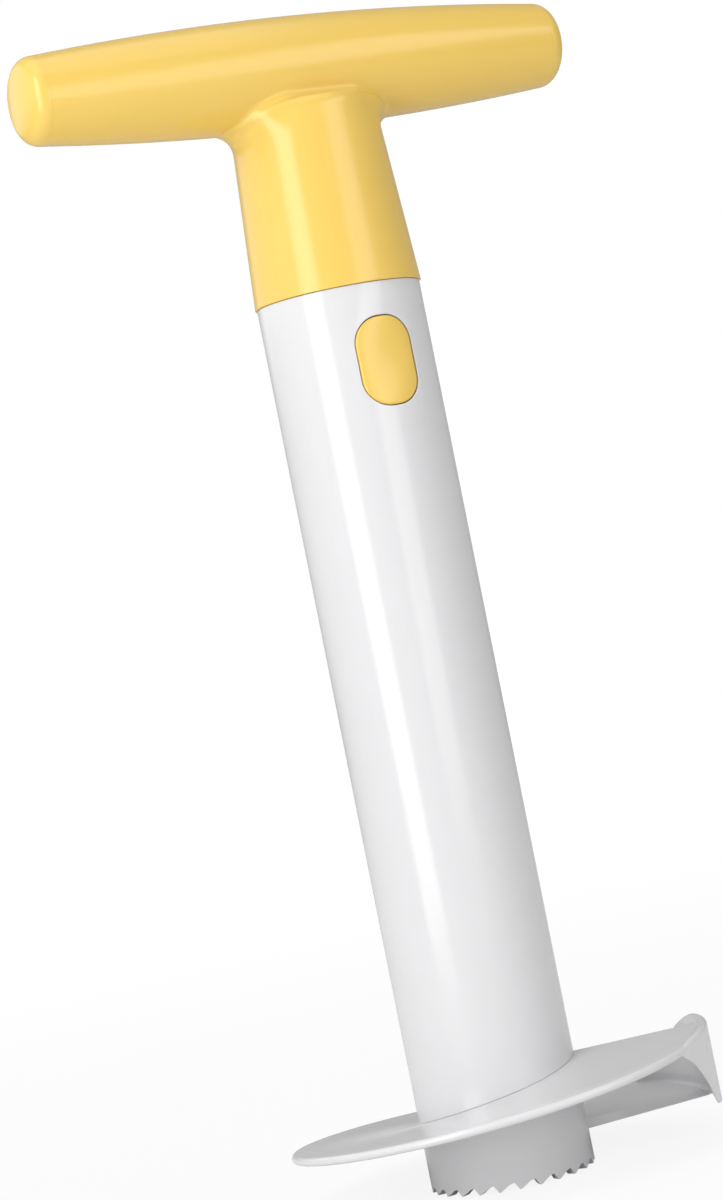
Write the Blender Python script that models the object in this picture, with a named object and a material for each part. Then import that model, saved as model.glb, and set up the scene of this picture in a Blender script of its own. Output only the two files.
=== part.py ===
"""Pineapple slicer: a hollow shaft with a toothed corer and a one-turn spiral blade, and a T-handle.

The shaft stands along +Z with the corer's teeth on the ground, the handle's bar lies along X, and the front
release button faces -Y. Angles are counted from +X, anticlockwise seen from above. The handle's plug goes
into the shaft and carries two sprung buttons that latch it there.
"""

import math

import bmesh
import bpy
from mathutils import Matrix, Vector

MM = 0.001
TURN = 2 * math.pi

# Clearances
GAP = 0.3 * MM
OVERRUN = 2.0 * MM
MERGE = 0.001 * MM

# Counts and angles
ROUND_STEPS = 60
SOFT_EDGE = math.radians(35)
CORNER_STEPS = 5

# Shaft
SHAFT_RADIUS = 17.25 * MM
SHAFT_WALL = 2.0 * MM
SHAFT_TOP = 186.8 * MM
LAP_RISE = 7.2 * MM
LAP_WALL = 0.85 * MM
LAP_INSET = 0.2 * MM

# Spiral blade: the height of its top face rises by one pitch in a full turn, on a face that leans a little
BLADE_BASE = 7.7 * MM
BLADE_PITCH = 16.1 * MM
BLADE_RADIUS = 44.8 * MM
BLADE_THICKNESS = 1.8 * MM
BLADE_EDGE = 0.5 * MM
BLADE_EDGE_RISE = 0.75 * MM
BLADE_LEAN = 1.4 * MM
BLADE_LEAN_ANGLE = math.radians(223)
BLADE_ROOT = 0.65 * MM
BLADE_RIM_SHARES = (0, 0.35, 0.65, 1)
LEAD_ANGLE = math.radians(-16)
TRAIL_ANGLE = math.radians(333)
WEDGE_ANGLE = math.radians(6)
BLADE_STEPS = 60

# Upright fin that joins the two ends of the blade at the rim
FIN_RADIUS = 45.6 * MM
FIN_THICKNESS = 1.9 * MM
FIN_EDGE = 0.6 * MM
FIN_DROP = 0.6 * MM
FIN_CREST = 0.8 * MM
FIN_FRONT_ANGLE = math.radians(-58)
FIN_REAR_ANGLE = math.radians(24)
FIN_STEPS = 30
FIN_SWELL_SHARE = 0.25
FIN_EDGE_SHARE = 0.4
FIN_TOP_SHARES = (
    (0.0, 0.894), (0.07, 0.92), (0.15, 0.954), (0.24, 0.983), (0.34, 0.994), (0.44, 1.0), (0.54, 0.989),
    (0.60, 0.943), (0.65, 0.88), (0.69, 0.811), (0.74, 0.674), (0.80, 0.486), (0.87, 0.314), (0.93, 0.2),
    (1.0, 0.109),
)
FIN_LOW_SHARES = (
    (0.0, 0.789), (0.033, 0.731), (0.076, 0.623), (0.12, 0.463), (0.16, 0.303), (0.177, 0.2), (0.19, 0.126),
    (0.22, 0.063), (0.28, 0.046), (0.51, 0.006), (0.70, 0.0), (1.0, 0.029),
)

# Corer teeth
TOOTH_COUNT = 25
TOOTH_DEPTH = 1.5 * MM
TOOTH_PHASE = math.radians(243)
TOOTH_SHARES = ((0.0, 1.0), (0.22, 0.0), (0.29, 0.0), (0.52, 0.42), (0.78, 0.86))

# Handle neck
NECK_OVERHANG = 0.4 * MM
NECK_SLOPE_SHARE = 0.058
NECK_SHOULDER = 7.3 * MM
SHOULDER_ROUND = 2.2 * MM
SHOULDER_STEPS = 3
NECK_FLARE = 4.5 * MM
NECK_WALL = 2.4 * MM
NECK_STEPS = 48
NECK_FLOOR = 5.0 * MM
CAVITY_TOP_SHARE = 0.4
PASSAGE_SHARE = 0.8
SOCKET_DEPTH = 14.0 * MM

# Handle bar
BAR_RISE = 47.65 * MM
BAR_HALF_LENGTH = 62.3 * MM
BAR_MID_RADIUS = 11.8 * MM
BAR_END_RADIUS = 9.1 * MM
BAR_BORE = 7.5 * MM
BAR_STEPS = 48
BARREL_RINGS = 12
CAP_RIM = 3.4 * MM
CAP_ROUND = 3.3 * MM
CAP_SKIRT = 8.0 * MM
CAP_WALL = 1.8 * MM

# Latch plug
PLUG_DEPTH = 34.5 * MM
PLUG_WALL = 1.5 * MM
PLUG_FLAT_WALL = 4.35 * MM
PLUG_ROOF = 3.0 * MM
SPIGOT_STEP = 0.95 * MM
WEB_THICKNESS = 2.4 * MM
WEB_MARGIN = 2.0 * MM
STUB_LENGTH = 1.0 * MM
STUB_RADIUS = 1.8 * MM

# Latch cover
COVER_THICKNESS = 2.0 * MM
COVER_UPSTAND = 3.0 * MM
COVER_WALL = 1.6 * MM

# Release buttons
BUTTON_DROP = 16.1 * MM
BUTTON_WIDTH = 12.5 * MM
BUTTON_HEIGHT = 18.4 * MM
BUTTON_CORNER = 5.6 * MM
FLANGE_THICKNESS = 1.4 * MM
FLANGE_RIM = 1.6 * MM
POST_LENGTH = 2.4 * MM

# Coil springs
SPRING_MEAN_RADIUS = 3.0 * MM
SPRING_WIRE = 0.6 * MM
SPRING_TURNS = 5
SPRING_TURN_STEPS = 10

# Screws
SCREW_INSET = 5.5 * MM
SCREW_RADIUS = 1.3 * MM
SCREW_HEAD_RADIUS = 2.6 * MM
SCREW_HEAD = 1.9 * MM
SCREW_REACH = 8.5 * MM
SCREW_SLOT = 0.7 * MM
SCREW_SLOT_DEPTH = 0.9 * MM
SLOT_ARM_SHARE = 0.67
HEAD_ROUND_SHARE = 0.33
BOSS_RADIUS = 3.4 * MM
BOSS_ROOF = 1.6 * MM
SCREW_STEPS = 20

# Places that follow from the sizes above
BORE = SHAFT_RADIUS - SHAFT_WALL
BLADE_END = BLADE_BASE + BLADE_PITCH
FIN_FOOT = BLADE_BASE - FIN_DROP
FIN_PEAK = BLADE_END + FIN_CREST
LAP_TOP = BLADE_END + LAP_RISE
LAP_OUTER = BORE + LAP_WALL
LAP_INNER = BORE + LAP_INSET
SEAM = SHAFT_TOP + GAP
BAR_Z = SEAM + BAR_RISE
BUTTON_Z = SHAFT_TOP - BUTTON_DROP
PLUG_RADIUS = BORE - GAP
PLUG_FOOT = SHAFT_TOP - PLUG_DEPTH
SPIGOT_RADIUS = PLUG_RADIUS - SPIGOT_STEP
SPIGOT_TOP = SEAM + SOCKET_DEPTH - GAP
PLUG_CEILING = SPIGOT_TOP - PLUG_ROOF
CHAMBER_RADIUS = PLUG_RADIUS - PLUG_WALL
CHAMBER_FLAT = PLUG_RADIUS - PLUG_FLAT_WALL
FLANGE_FACE = CHAMBER_FLAT - GAP
FLANGE_BACK = FLANGE_FACE - FLANGE_THICKNESS
FLANGE_HALF_WIDTH = math.sqrt((CHAMBER_RADIUS - GAP) ** 2 - FLANGE_FACE ** 2)
FLANGE_HALF_HEIGHT = BUTTON_HEIGHT / 2 + FLANGE_RIM
WEB_FACE = WEB_THICKNESS / 2
SCREW_HEAD_TOP = PLUG_CEILING - GAP
SCREW_OFFSET = SPIGOT_RADIUS - SCREW_INSET

YELLOW = (0.93, 0.63, 0.17, 1.0)
WHITE = (0.84, 0.86, 0.87, 1.0)
GREY = (0.32, 0.33, 0.34, 1.0)
STEEL = (0.62, 0.62, 0.60, 1.0)


def clear_scene():
    for obj in list(bpy.data.objects):
        bpy.data.objects.remove(obj, do_unlink=True)


def dressed(obj, colour, roughness, metallic):
    """Gives the object a Principled material of its own."""
    material = bpy.data.materials.new(obj.name)
    material.use_nodes = True
    shader = material.node_tree.nodes["Principled BSDF"]
    shader.inputs["Base Color"].default_value = colour
    shader.inputs["Roughness"].default_value = roughness
    shader.inputs["Metallic"].default_value = metallic
    obj.data.materials.append(material)


def placed(bm, name, origin=(0, 0, 0), turn=0):
    """Turns the mesh about Z and links it as an object whose origin is at the given point."""
    spun = Matrix.Rotation(turn, 4, "Z")
    here = spun @ Vector(origin)
    bmesh.ops.transform(bm, matrix=Matrix.Translation(-here) @ spun, verts=bm.verts)
    bmesh.ops.recalc_face_normals(bm, faces=bm.faces)
    mesh = bpy.data.meshes.new(name)
    bm.to_mesh(mesh)
    bm.free()
    mesh.shade_smooth()
    mesh.set_sharp_from_angle(angle=SOFT_EDGE)
    obj = bpy.data.objects.new(name, mesh)
    obj.location = here
    bpy.context.collection.objects.link(obj)
    return obj


def boolean(obj, bm, operation, turn=0, solver="EXACT"):
    """Adds a Boolean with a tool that isn't part of the slicer itself."""
    tool = placed(bm, obj.name + "_tool", turn=turn)
    tool.hide_render = True
    tool.display_type = "WIRE"
    modifier = obj.modifiers.new(operation.lower(), "BOOLEAN")
    modifier.operation = operation
    modifier.solver = solver
    modifier.object = tool


def turned(outline, closed=True, steps=ROUND_STEPS):
    """Spins an outline of (radius, height) points about Z."""
    bm = bmesh.new()
    verts = [bm.verts.new((radius, 0, height)) for radius, height in outline]
    edges = [bm.edges.new(pair) for pair in zip(verts, verts[1:])]
    if closed:
        edges.append(bm.edges.new((verts[-1], verts[0])))
    bmesh.ops.spin(
        bm, geom=verts + edges, cent=(0, 0, 0), axis=(0, 0, 1), angle=TURN, steps=steps, use_merge=True
    )
    bmesh.ops.remove_doubles(bm, verts=bm.verts, dist=MERGE)
    return bm


def rod(radius, low, high, centre=(0, 0), steps=ROUND_STEPS):
    """A round bar along Z."""
    bm = turned([(0, low), (radius, low), (radius, high), (0, high)], closed=False, steps=steps)
    bmesh.ops.translate(bm, verts=bm.verts, vec=(centre[0], centre[1], 0))
    return bm


def lofted(sections, ring=False):
    """Skins a row of sections, each a list of the same number of points. A ring's last meets its first."""
    bm = bmesh.new()
    rows = [[bm.verts.new(point) for point in section] for section in sections]
    nexts = rows[1:] + rows[:1] if ring else rows[1:]
    for row, after in zip(rows, nexts):
        for k in range(len(row)):
            j = (k + 1) % len(row)
            bm.faces.new((row[k], row[j], after[j], after[k]))
    if not ring:
        bm.faces.new(rows[0])
        bm.faces.new(rows[-1])
    bmesh.ops.triangulate(bm, faces=bm.faces)
    return bm


def at_angle(angle, points):
    """Places (radius, height) points in the upright plane at an angle."""
    return [(radius * math.cos(angle), radius * math.sin(angle), height) for radius, height in points]


def along_y(outline, low, high):
    """A plate with an outline of (x, z) points, from one y to another."""
    return lofted([[(x, y, z) for x, z in outline] for y in (low, high)])


def rounded_rectangle(half_width, half_height, corner, centre_z):
    points = []
    for quarter, (side, end) in enumerate(((1, 1), (-1, 1), (-1, -1), (1, -1))):
        for k in range(CORNER_STEPS + 1):
            angle = TURN / 4 * (quarter + k / CORNER_STEPS)
            x = side * (half_width - corner) + corner * math.cos(angle)
            z = centre_z + end * (half_height - corner) + corner * math.sin(angle)
            points.append((x, z))
    return points


def double_flat(radius, flat):
    """A circle cut off at y = flat and y = -flat, as (x, y) points."""
    reach = math.asin(flat / radius)
    points = []
    for start in (0, math.pi):
        for k in range(2 * CORNER_STEPS + 1):
            angle = start + reach * (k / CORNER_STEPS - 1)
            points.append((radius * math.cos(angle), radius * math.sin(angle)))
    return points


def upright(outline, low, high):
    """A prism with an outline of (x, y) points."""
    return lofted([[(x, y, z) for x, y in outline] for z in (low, high)])


def read(table, share):
    """Reads a height share off a table of (share along, height share)."""
    for (x0, y0), (x1, y1) in zip(table, table[1:]):
        if share <= x1:
            return y0 + (y1 - y0) * (share - x0) / (x1 - x0)
    return table[-1][1]


def blade_top(angle, radius):
    """Height of the blade's top face."""
    lean = BLADE_LEAN * radius / BLADE_RADIUS * math.sin(angle - BLADE_LEAN_ANGLE)
    return BLADE_BASE + BLADE_PITCH * angle / TURN + lean


# Shaft


def shaft_step_angles():
    """Angles once round, from just past the blade's trailing end to just before it."""
    notch = GAP / SHAFT_RADIUS
    start, end = TRAIL_ANGLE - TURN + notch, TRAIL_ANGLE
    return [start + (end - start) * k / ROUND_STEPS for k in range(ROUND_STEPS + 1)], notch


def make_shaft():
    """Tube whose lower end follows the spiral blade, with a socket for the slicing head's spigot."""
    angles, notch = shaft_step_angles()
    socket = LAP_OUTER + GAP
    sections = []
    for angle in angles:
        outline = [
            (BORE, LAP_TOP + GAP), (BORE, SHAFT_TOP), (SHAFT_RADIUS, SHAFT_TOP),
            (SHAFT_RADIUS, blade_top(angle, SHAFT_RADIUS) + GAP), (socket, blade_top(angle, socket) + GAP),
            (socket, LAP_TOP + GAP),
        ]
        sections.append(at_angle(angle + notch / 2, outline))
    shaft = placed(lofted(sections, ring=True), "shaft_tube")
    window = rounded_rectangle(
        BUTTON_WIDTH / 2 + GAP, BUTTON_HEIGHT / 2 + GAP, BUTTON_CORNER + GAP, BUTTON_Z
    )
    reach = SHAFT_RADIUS + OVERRUN
    boolean(shaft, along_y(window, -reach, reach), "DIFFERENCE")
    dressed(shaft, WHITE, 0.28, 0)


# Slicing head


def blade_mesh():
    """Spiral plate with a wedge at its leading end and a rounded rim."""
    rim = BLADE_THICKNESS / 2
    root = SHAFT_RADIUS - BLADE_ROOT
    sections = []
    for k in range(BLADE_STEPS + 1):
        angle = LEAD_ANGLE + (TRAIL_ANGLE - LEAD_ANGLE) * k / BLADE_STEPS
        wedge = min((angle - LEAD_ANGLE) / WEDGE_ANGLE, 1)
        thin = (BLADE_THICKNESS - BLADE_EDGE) * (1 - wedge)
        rise = BLADE_EDGE_RISE * (1 - wedge) / BLADE_RADIUS
        outline = [(root, -BLADE_THICKNESS), (root, -thin)]
        for share in BLADE_RIM_SHARES:
            bulge = rim * math.sin(math.pi * share)
            outline.append((BLADE_RADIUS - rim + bulge, -thin - (BLADE_THICKNESS - thin) * share))
        points = [
            (radius, blade_top(angle, radius) + height + rise * radius) for radius, height in outline
        ]
        sections.append(at_angle(angle, points))
    return lofted(sections)


def corer_mesh():
    """Round wall from the teeth up to the blade, with the same step as the shaft's lower end."""
    tooth = TURN / TOOTH_COUNT
    stations = []
    for k in range(TOOTH_COUNT):
        for share, height in TOOTH_SHARES:
            stations.append(((TOOTH_PHASE + (k + share) * tooth) % TURN, height * TOOTH_DEPTH))
    stations.sort()
    stations.append((stations[0][0] + TURN, stations[0][1]))
    step = GAP / SHAFT_RADIUS
    for before, after in zip(stations, stations[1:]):
        if before[0] <= TRAIL_ANGLE < after[0]:
            part = (TRAIL_ANGLE - before[0]) / (after[0] - before[0])
            foot = before[1] + (after[1] - before[1]) * part
    below = [(angle, height) for angle, height in stations[:-1] if angle < TRAIL_ANGLE - step]
    above = [(angle - TURN, height) for angle, height in stations[:-1] if angle > TRAIL_ANGLE + step]
    around = [(TRAIL_ANGLE - TURN, foot)] + above + below + [(TRAIL_ANGLE - step, foot)]
    sections = []
    for angle, height in around:
        top = [(radius, blade_top(angle, radius) - GAP) for radius in (SHAFT_RADIUS, BORE)]
        sections.append(at_angle(angle, [(BORE, height), (SHAFT_RADIUS, height)] + top))
    return lofted(sections, ring=True)


def fin_mesh():
    """Upright wall on the rim, with a curved cutting edge in front and a hump above the blade."""
    sections = []
    for k in range(FIN_STEPS + 1):
        share = k / FIN_STEPS
        angle = FIN_FRONT_ANGLE + (FIN_REAR_ANGLE - FIN_FRONT_ANGLE) * share
        swell = min(share / FIN_SWELL_SHARE, (1 - share) / FIN_SWELL_SHARE, 1)
        outer = BLADE_RADIUS + (FIN_RADIUS - BLADE_RADIUS) * swell
        inner = outer - FIN_EDGE - (FIN_THICKNESS - FIN_EDGE) * min(share / FIN_EDGE_SHARE, 1)
        low = FIN_FOOT + (FIN_PEAK - FIN_FOOT) * read(FIN_LOW_SHARES, share)
        high = FIN_FOOT + (FIN_PEAK - FIN_FOOT) * read(FIN_TOP_SHARES, share)
        sections.append(at_angle(angle, [(inner, low), (outer, low), (outer, high), (inner, high)]))
    return lofted(sections)


def make_head():
    """Corer, spigot, blade and fin, moulded in one."""
    head = placed(corer_mesh(), "slicing_head")
    spigot_foot = TOOTH_DEPTH + OVERRUN
    spigot = [
        (LAP_INNER, spigot_foot), (LAP_OUTER, spigot_foot), (LAP_OUTER, LAP_TOP), (LAP_INNER, LAP_TOP),
    ]
    boolean(head, turned(spigot), "UNION")
    boolean(head, blade_mesh(), "UNION")
    boolean(head, fin_mesh(), "UNION")
    dressed(head, WHITE, 0.3, 0)


# Handle


def bar_radius(x):
    """Barrel shape: thickest in the middle."""
    share = x / (BAR_HALF_LENGTH - CAP_RIM)
    return BAR_MID_RADIUS - (BAR_MID_RADIUS - BAR_END_RADIUS) * share * share


def lay_along_x(bm):
    """Lays a shape that was turned about Z along the bar's axis."""
    bmesh.ops.rotate(bm, verts=bm.verts, cent=(0, 0, 0), matrix=Matrix.Rotation(TURN / 4, 3, "Y"))
    bmesh.ops.translate(bm, verts=bm.verts, vec=(0, 0, BAR_Z))
    return bm


def bar_mesh():
    reach = BAR_HALF_LENGTH - CAP_RIM - GAP / 2
    outline = [(0, -reach)]
    for k in range(BARREL_RINGS + 1):
        x = reach * (2 * k / BARREL_RINGS - 1)
        outline.append((bar_radius(x), x))
    outline.append((0, reach))
    return lay_along_x(turned(outline, closed=False, steps=BAR_STEPS))


def neck_radius(z):
    """Slow taper from the shaft's width towards the bar."""
    return SHAFT_RADIUS + NECK_OVERHANG - NECK_SLOPE_SHARE * (z - SEAM)


def neck_half_width(z):
    """Half the neck's width along the bar: its radius, and a round flare under the bar."""
    into_flare = min(max(z - (BAR_Z - BAR_MID_RADIUS - NECK_FLARE), 0), NECK_FLARE)
    return neck_radius(z) + NECK_FLARE - math.sqrt(NECK_FLARE ** 2 - into_flare ** 2)


def oval(half_x, half_y, z):
    angles = [TURN * k / NECK_STEPS for k in range(NECK_STEPS)]
    return [(half_x * math.cos(angle), half_y * math.sin(angle), z) for angle in angles]


def neck_mesh():
    """Round neck, closed by a flat shoulder that stands out in front of the bar and behind it."""
    flare_foot = BAR_Z - BAR_MID_RADIUS - NECK_FLARE
    levels = [SEAM + (flare_foot - SEAM) * k / 4 for k in range(5)]
    levels += [flare_foot + NECK_FLARE * math.sin(TURN / 4 * k / 5) for k in range(1, 6)]
    rings = [oval(neck_half_width(z), neck_radius(z), z) for z in levels]
    shoulder = BAR_Z - NECK_SHOULDER
    for k in range(SHOULDER_STEPS + 1):
        slant = TURN / 4 * k / SHOULDER_STEPS
        radius = neck_radius(shoulder) - SHOULDER_ROUND * (1 - math.cos(slant))
        rings.append(oval(radius, radius, shoulder - SHOULDER_ROUND * (1 - math.sin(slant))))
    return lofted(rings)


def neck_cavity_mesh():
    """Hollow above the neck's floor, with a ceiling under the shoulder and a passage to the bar's bore."""
    ceiling = BAR_Z - NECK_SHOULDER - NECK_WALL
    sizes = [(neck_radius(z) - NECK_WALL, z) for z in (SEAM + SOCKET_DEPTH + NECK_FLOOR, ceiling)]
    passage = PASSAGE_SHARE * BAR_BORE
    sizes += [(passage, ceiling), (passage, BAR_Z - CAVITY_TOP_SHARE * BAR_BORE)]
    return lofted([oval(radius, radius, z) for radius, z in sizes])


def make_grip():
    """Bar and neck in one hollow moulding, open at the bar's ends and under the neck."""
    grip = placed(bar_mesh(), "grip_shell")
    bore_reach = BAR_HALF_LENGTH + OVERRUN
    bore = rod(BAR_BORE, -bore_reach, bore_reach, steps=BAR_STEPS)
    floor = SEAM + SOCKET_DEPTH
    steps = [
        (neck_mesh(), "UNION"),
        (neck_cavity_mesh(), "DIFFERENCE"),
        (lay_along_x(bore), "DIFFERENCE"),
        (rod(SPIGOT_RADIUS + GAP, SEAM - OVERRUN, floor), "DIFFERENCE"),
    ]
    tip = SCREW_HEAD_TOP + SCREW_REACH + PLUG_ROOF
    for side in (-1, 1):
        place = (side * SCREW_OFFSET, 0)
        boss = rod(BOSS_RADIUS, floor + NECK_FLOOR / 2, tip + GAP + BOSS_ROOF, place, SCREW_STEPS)
        pilot = rod(SCREW_RADIUS + GAP, floor - OVERRUN, tip + GAP, place, SCREW_STEPS)
        steps += [(boss, "UNION"), (pilot, "DIFFERENCE")]
    # The exact solver leaves holes in this long chain
    for bm, operation in steps:
        boolean(grip, bm, operation, solver="MANIFOLD")
    dressed(grip, YELLOW, 0.32, 0)


def make_cap(name, turn):
    """Round end of the bar, with a skirt inside the bore."""
    seat = BAR_HALF_LENGTH - CAP_RIM + GAP / 2
    skirt = BAR_BORE - GAP
    inside = BAR_HALF_LENGTH - CAP_WALL
    outline = [
        (0, inside), (skirt - CAP_WALL, inside), (skirt - CAP_WALL, seat - CAP_SKIRT),
        (skirt, seat - CAP_SKIRT), (skirt, seat), (BAR_END_RADIUS, seat),
    ]
    for k in range(CORNER_STEPS + 1):
        angle = TURN / 4 * k / CORNER_STEPS
        radius = BAR_END_RADIUS - CAP_ROUND * (1 - math.cos(angle))
        outline.append((radius, BAR_HALF_LENGTH - CAP_ROUND * (1 - math.sin(angle))))
    outline.append((0, BAR_HALF_LENGTH))
    cap = placed(lay_along_x(turned(outline, closed=False, steps=BAR_STEPS)), name, turn=turn)
    dressed(cap, YELLOW, 0.32, 0)


# Latch


def make_plug():
    """Plug that enters the shaft, with a chamber for the buttons and a spigot for the neck."""
    outline = [
        (0, PLUG_FOOT), (PLUG_RADIUS, PLUG_FOOT), (PLUG_RADIUS, SHAFT_TOP), (SPIGOT_RADIUS, SHAFT_TOP),
        (SPIGOT_RADIUS, SPIGOT_TOP), (0, SPIGOT_TOP),
    ]
    plug = placed(turned(outline, closed=False), "latch_plug")
    step_in = CHAMBER_RADIUS - SPIGOT_STEP
    chamber = double_flat(CHAMBER_RADIUS, CHAMBER_FLAT)
    boolean(plug, upright(chamber, PLUG_FOOT - OVERRUN, SHAFT_TOP - PLUG_WALL), "DIFFERENCE")
    attic = double_flat(step_in, CHAMBER_FLAT - SPIGOT_STEP)
    boolean(plug, upright(attic, SHAFT_TOP - PLUG_WALL - OVERRUN, PLUG_CEILING), "DIFFERENCE")
    window = rounded_rectangle(
        BUTTON_WIDTH / 2 + GAP, BUTTON_HEIGHT / 2 + GAP, BUTTON_CORNER + GAP, BUTTON_Z
    )
    reach = PLUG_RADIUS + OVERRUN
    boolean(plug, along_y(window, -reach, reach), "DIFFERENCE")
    half_height = FLANGE_HALF_HEIGHT - WEB_MARGIN
    half_width = CHAMBER_RADIUS + PLUG_WALL / 2
    web = rounded_rectangle(half_width, half_height, WEB_MARGIN, BUTTON_Z)
    boolean(plug, along_y(web, -WEB_FACE, WEB_FACE), "UNION")
    stub_reach = WEB_FACE + STUB_LENGTH
    stub = rod(STUB_RADIUS, -stub_reach, stub_reach, steps=SCREW_STEPS)
    bmesh.ops.rotate(stub, verts=stub.verts, cent=(0, 0, 0), matrix=Matrix.Rotation(TURN / 4, 3, "X"))
    bmesh.ops.translate(stub, verts=stub.verts, vec=(0, 0, BUTTON_Z))
    boolean(plug, stub, "UNION")
    for side in (-1, 1):
        hole = rod(
            SCREW_RADIUS + GAP, PLUG_CEILING - OVERRUN, SPIGOT_TOP + OVERRUN, (side * SCREW_OFFSET, 0),
            SCREW_STEPS,
        )
        boolean(plug, hole, "DIFFERENCE")
    dressed(plug, GREY, 0.45, 0)


def make_cover():
    """Lid under the plug, with an upstand that sits inside the chamber."""
    top = PLUG_FOOT - GAP
    cover = placed(rod(PLUG_RADIUS, top - COVER_THICKNESS, top), "latch_cover")
    outer = double_flat(CHAMBER_RADIUS - GAP, CHAMBER_FLAT - GAP)
    inner = double_flat(CHAMBER_RADIUS - GAP - COVER_WALL, CHAMBER_FLAT - GAP - COVER_WALL)
    boolean(cover, upright(outer, top - COVER_THICKNESS / 2, top + COVER_UPSTAND), "UNION")
    boolean(cover, upright(inner, top, top + COVER_UPSTAND + OVERRUN), "DIFFERENCE")
    dressed(cover, GREY, 0.45, 0)


def make_button(name, turn):
    """Button flush with the shaft, kept in by a flange behind the plug's wall."""
    origin = Vector((0, -SHAFT_RADIUS, BUTTON_Z))
    face = rounded_rectangle(BUTTON_WIDTH / 2, BUTTON_HEIGHT / 2, BUTTON_CORNER, BUTTON_Z)
    overlap = FLANGE_THICKNESS / 2
    block = along_y(face, -SHAFT_RADIUS - OVERRUN, -FLANGE_FACE + overlap)
    button = placed(block, name, origin, turn)
    low, high = BUTTON_Z - BUTTON_HEIGHT, BUTTON_Z + BUTTON_HEIGHT
    boolean(button, rod(SHAFT_RADIUS, low, high, steps=3 * ROUND_STEPS), "INTERSECT", turn)
    flange = rounded_rectangle(
        FLANGE_HALF_WIDTH, FLANGE_HALF_HEIGHT, BUTTON_CORNER + FLANGE_RIM, BUTTON_Z
    )
    boolean(button, along_y(flange, -FLANGE_FACE, -FLANGE_BACK), "UNION", turn)
    post = rod(STUB_RADIUS, FLANGE_BACK - POST_LENGTH, FLANGE_BACK + overlap, steps=SCREW_STEPS)
    bmesh.ops.rotate(post, verts=post.verts, cent=(0, 0, 0), matrix=Matrix.Rotation(TURN / 4, 3, "X"))
    bmesh.ops.translate(post, verts=post.verts, vec=(0, 0, BUTTON_Z))
    boolean(button, post, "UNION", turn)
    dressed(button, YELLOW, 0.32, 0)


def make_spring(name, side):
    """Coil between the plug's web and the button's flange."""
    wire = SPRING_WIRE / 2
    start, end = WEB_FACE + GAP + wire, FLANGE_BACK - GAP - wire
    count = SPRING_TURNS * SPRING_TURN_STEPS
    curve = bpy.data.curves.new(name, "CURVE")
    curve.dimensions = "3D"
    curve.bevel_depth = wire
    curve.bevel_resolution = 1
    curve.use_fill_caps = True
    spline = curve.splines.new("POLY")
    spline.points.add(count)
    for k, point in enumerate(spline.points):
        angle = TURN * k / SPRING_TURN_STEPS
        x = SPRING_MEAN_RADIUS * math.cos(angle)
        z = BUTTON_Z + SPRING_MEAN_RADIUS * math.sin(angle)
        point.co = (x, side * (start + (end - start) * k / count), z, 1)
    spring = bpy.data.objects.new(name, curve)
    bpy.context.collection.objects.link(spring)
    dressed(spring, STEEL, 0.3, 1)


def make_screw(name, side):
    """Pan-head screw from the chamber's ceiling up into the neck's boss."""
    head = SCREW_HEAD_TOP - SCREW_HEAD
    rounding = HEAD_ROUND_SHARE * SCREW_HEAD
    tip = SCREW_HEAD_TOP + SCREW_REACH + PLUG_ROOF
    outline = [
        (0, head), (SCREW_HEAD_RADIUS - rounding, head), (SCREW_HEAD_RADIUS, head + rounding),
        (SCREW_HEAD_RADIUS, SCREW_HEAD_TOP), (SCREW_RADIUS, SCREW_HEAD_TOP),
        (SCREW_RADIUS, tip - SCREW_RADIUS), (HEAD_ROUND_SHARE * SCREW_RADIUS, tip), (0, tip),
    ]
    screw = placed(turned(outline, closed=False, steps=SCREW_STEPS), name, (0, 0, 0))
    screw.location.x = side * SCREW_OFFSET
    arm = SLOT_ARM_SHARE * SCREW_HEAD_RADIUS
    centre = side * SCREW_OFFSET
    for half_x, half_y in ((arm, SCREW_SLOT / 2), (SCREW_SLOT / 2, arm)):
        slot = [
            (centre - half_x, -half_y), (centre + half_x, -half_y), (centre + half_x, half_y),
            (centre - half_x, half_y),
        ]
        boolean(screw, upright(slot, head - OVERRUN, head + SCREW_SLOT_DEPTH), "DIFFERENCE")
    dressed(screw, STEEL, 0.3, 1)


def main():
    clear_scene()
    make_shaft()
    make_head()
    make_grip()
    make_cap("bar_end_cap_right", 0)
    make_cap("bar_end_cap_left", math.pi)
    make_plug()
    make_cover()
    make_button("button_front", 0)
    make_button("button_rear", math.pi)
    make_spring("button_spring_front", -1)
    make_spring("button_spring_rear", 1)
    make_screw("plug_screw_left", -1)
    make_screw("plug_screw_right", 1)


main()
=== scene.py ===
"""Pineapple slicer: fine meshes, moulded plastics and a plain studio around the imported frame.

The tool stands along +Z on its corer's teeth. The bar lies along X and the front button faces -Y.
Angles are counted from +X, anticlockwise seen from above. Lengths are in metres.
"""

import math
from typing import NamedTuple

import bmesh
import bpy
import numpy as np
from bpy.props import FloatProperty, FloatVectorProperty, IntProperty, PointerProperty
from bpy.types import Operator, Panel, PropertyGroup
from mathutils import Matrix, Vector


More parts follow.
